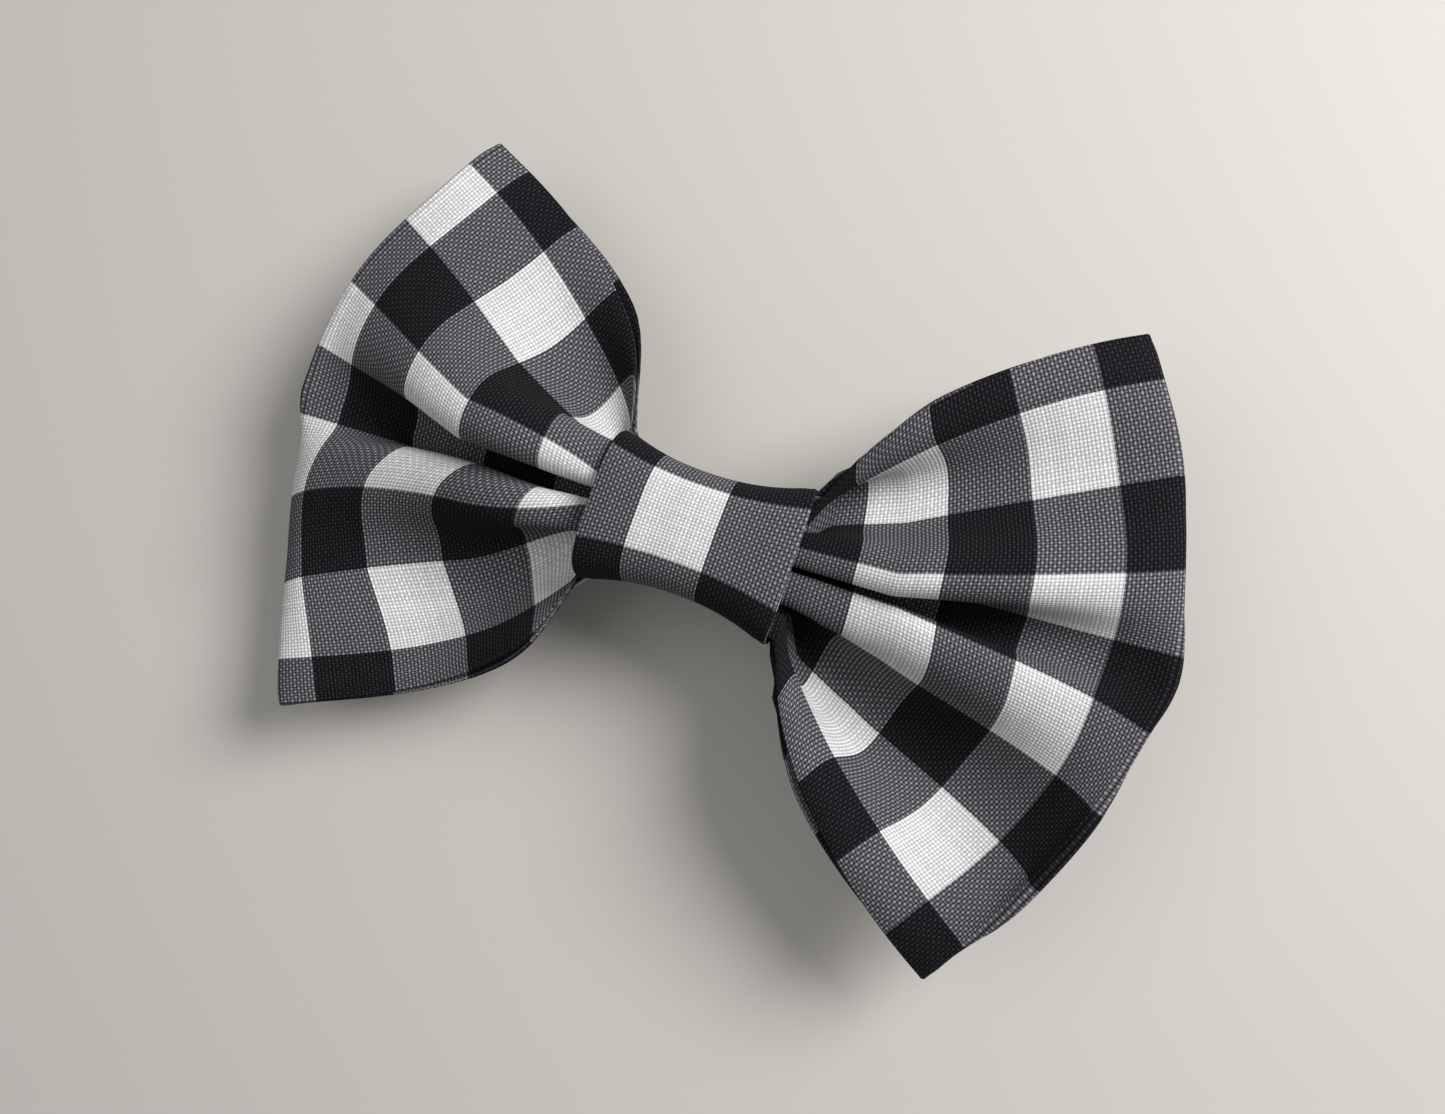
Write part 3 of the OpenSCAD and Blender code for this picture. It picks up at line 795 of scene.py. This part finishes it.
def makeRibbon():
    # along the plate's back, round its nose in a half circle, and under it as far as the hinge
    low, high = ribbonBox
    thick = ribbon["thick"]
    inward = thick / 2 + ribbon["inset"]
    topZ, underZ = high[2] - inward, low[2] + inward
    r = (topZ - underZ) / 2
    noseX = plateBox[0][0] + ribbon["noseIn"]
    top = np.stack(np.broadcast_arrays(np.linspace(high[0], noseX, 60), topZ), -1)
    a = np.linspace(np.pi / 2, 3 * np.pi / 2, 14)[1:-1]
    nose = np.stack([noseX + r * np.cos(a), (topZ + underZ) / 2 + r * np.sin(a)], -1)
    under = np.stack(np.broadcast_arrays(np.linspace(noseX, ribbon["end"], 40), underZ), -1)
    line = np.concatenate([top, nose, under])
    away = unit(np.gradient(line, axis=0))
    out = np.stack([away[:, 1], -away[:, 0]], -1)
    length = np.concatenate([[0], np.cumsum(np.linalg.norm(np.diff(line, axis=0), axis=-1))])
    w = np.linspace(-1, 1, 25)
    halfWide = (high[1] - low[1]) / 2 - ribbon["margin"]
    thin = ribbon["edgeShare"] + (1 - ribbon["edgeShare"]) * smooth((1 - abs(w)) / ribbon["edgeWidth"])
    # once round its section, with three points at each woven edge
    edgeW, edgeH = np.array([1.015, 1.02, 1.015]), np.array([0.45, 0, -0.45])
    loopW = np.concatenate([w, edgeW, w[::-1], -edgeW]) * halfWide
    loopH = np.concatenate([thin, edgeH, -thin[::-1], -edgeH]) * thick / 2
    points = np.stack(np.broadcast_arrays(
        line[:, :1] - out[:, :1] * loopH, loopW[None, :], line[:, 1:] - out[:, 1:] * loopH), -1)
    uvs = np.stack(np.broadcast_arrays(length[:, None], np.append(loopW, loopW[0])[None, :]), -1)
    return points - knot, uvs


ribbonShade = Shade("grosgrain_ribbon", Roughness=0.6, Sheen_Weight=0.25, Specular_IOR_Level=0.4)
lengthwise, sideways = ribbonShade.uv("cloth")
ribs = 0.5 + 0.5 * (lengthwise * (2 * math.pi / ribbon["ribPitch"])).of("SINE")
fine = 0.5 + 0.5 * (sideways * (2 * math.pi / ribbon["finePitch"])).of("SINE")
ribbonShade.set(Base_Color=ribbonShade.mix(ribs * (0.6 + 0.4 * fine), (0.006, 0.006, 0.007), (0.03, 0.03, 0.034)))
ribbonShade.bump(ribs.of("POWER", 0.6) + fine * 0.15, 0.00016)
points, uvs = makeRibbon()
lining = gridPiece("ribbon_lining_grosgrain", points, uvs, wrapColumns=True, caps=True)
dress(lining, ribbonShade, "bow", "ribbon", "ribbon_lining")

# Metal, glue and grip keep their own shapes and get a finish


def metalShade(name, colour, roughness, grain):
    # plated steel: a brushed grain along X and faint cloudy wear in its polish
    s = Shade(name, Metallic=1.0)
    parts = s.node("SeparateXYZ", Vector=s.place())
    x, y, z = (Wire(s, parts.outputs[k]) for k in range(3))
    stretched = Wire(s, s.node("CombineXYZ", X=x * 0.08, Y=y, Z=z).outputs[0])
    brushed = s.noise(stretched, 9000, 3, 0.6)
    wear = s.noise(s.place(), 320, 4, 0.6)
    dim = tuple(0.72 * c for c in colour)
    s.set(Base_Color=s.mix(wear, dim, colour), Roughness=roughness + 0.16 * wear)
    s.bump(brushed, grain)
    return s


finishes = {
    "clip_plate": metalShade("nickel_plate", (0.62, 0.61, 0.60), 0.24, 0.000006),
    "clip_lever": metalShade("nickel_lever", (0.60, 0.59, 0.58), 0.26, 0.000006),
    "hinge_pin": metalShade("steel_pin", (0.50, 0.50, 0.50), 0.2, 0.000003),
    "torsion_spring": metalShade("spring_wire", (0.38, 0.37, 0.36), 0.3, 0.000004),
    "band_stitches": threadShade,
}

glue = Shade("hot_melt_glue", Roughness=0.3, Subsurface_Weight=0.2, Coat_Weight=0.2)
lumps = glue.noise(glue.place(), 500, 3)
glue.set(Base_Color=glue.mix(lumps, (0.62, 0.56, 0.42), (0.74, 0.69, 0.56)))
glue.bump(lumps, 0.0001)
finishes["glue_pad"] = glue

grip = Shade("grip_rubber", Roughness=0.55)
where = grip.place()
parts = grip.node("SeparateXYZ", Vector=where)
gx, gy = (Wire(grip, parts.outputs[k]) for k in range(2))
knobTurn = 5200                                  # radians a metre: knobs 0.6 mm across, in a checkerboard
knobs = ((gx * knobTurn).of("SINE") * (gy * knobTurn).of("SINE")).of("MAXIMUM", 0.0)
grip.set(Base_Color=grip.mix(grip.noise(where, 800), (0.5, 0.5, 0.5), (0.62, 0.62, 0.61)))
grip.bump(knobs, 0.00012)
finishes["grip_pad"] = grip

for node, shade in finishes.items():
    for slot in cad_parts[node].material_slots:
        slot.material = shade.material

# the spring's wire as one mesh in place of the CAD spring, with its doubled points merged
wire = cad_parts["torsion_spring"]
spring = bpy.data.objects.new("torsion_spring_wire", wire.data.copy())
spring.data.transform(wire.matrix_world)
merged = bmesh.new()
merged.from_mesh(spring.data)
bmesh.ops.remove_doubles(merged, verts=merged.verts, dist=0.000001)
merged.to_mesh(spring.data)
merged.free()
bpy.context.collection.objects.link(spring)
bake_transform(spring)
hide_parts("torsion_spring")
print("finished", len(finishes), "metal and small parts")

# Floor and light

floorShade = Shade("pale_floor", Base_Color=(0.50, 0.475, 0.44, 1), Roughness=0.8, Specular_IOR_Level=0.2)
floorHalf, floorZ = 8.0, -0.0002                 # metres, just under the part
floorMesh = bpy.data.meshes.new("floor")
corners = ((-1, -1), (1, -1), (1, 1), (-1, 1))
floorMesh.from_pydata([(floorHalf * x, floorHalf * y, floorZ) for x, y in corners], [], [(0, 1, 2, 3)])
floorMesh.materials.append(floorShade.material)
floor = bpy.data.objects.new("floor", floorMesh)
bpy.context.collection.objects.link(floor)

world = bpy.data.worlds.new("studio")
world.use_nodes = True
background = world.node_tree.nodes["Background"].inputs
background["Color"].default_value = (0.96, 0.98, 1.0, 1)
background["Strength"].default_value = 0.30
scene.world = world

lamps = {
    # place right, up and back of the knot, width in metres, watts
    "window": ((0.28, 0.17, 0.32), 0.26, 3.0),
    "fill": ((-0.35, 0.10, 0.45), 0.50, 0.7),
}
for name, (where, width, power) in lamps.items():
    lamp = bpy.data.objects.new(name, bpy.data.lights.new(name, "AREA"))
    lamp.data.shape = "DISK"
    lamp.data.size = width
    lamp.data.energy = power
    lamp.location = fromCamera(*where)
    lamp.rotation_euler = (lamp.location - knotPlace).to_track_quat("Z", "Y").to_euler()
    bpy.context.collection.objects.link(lamp)

print("lit and staged")
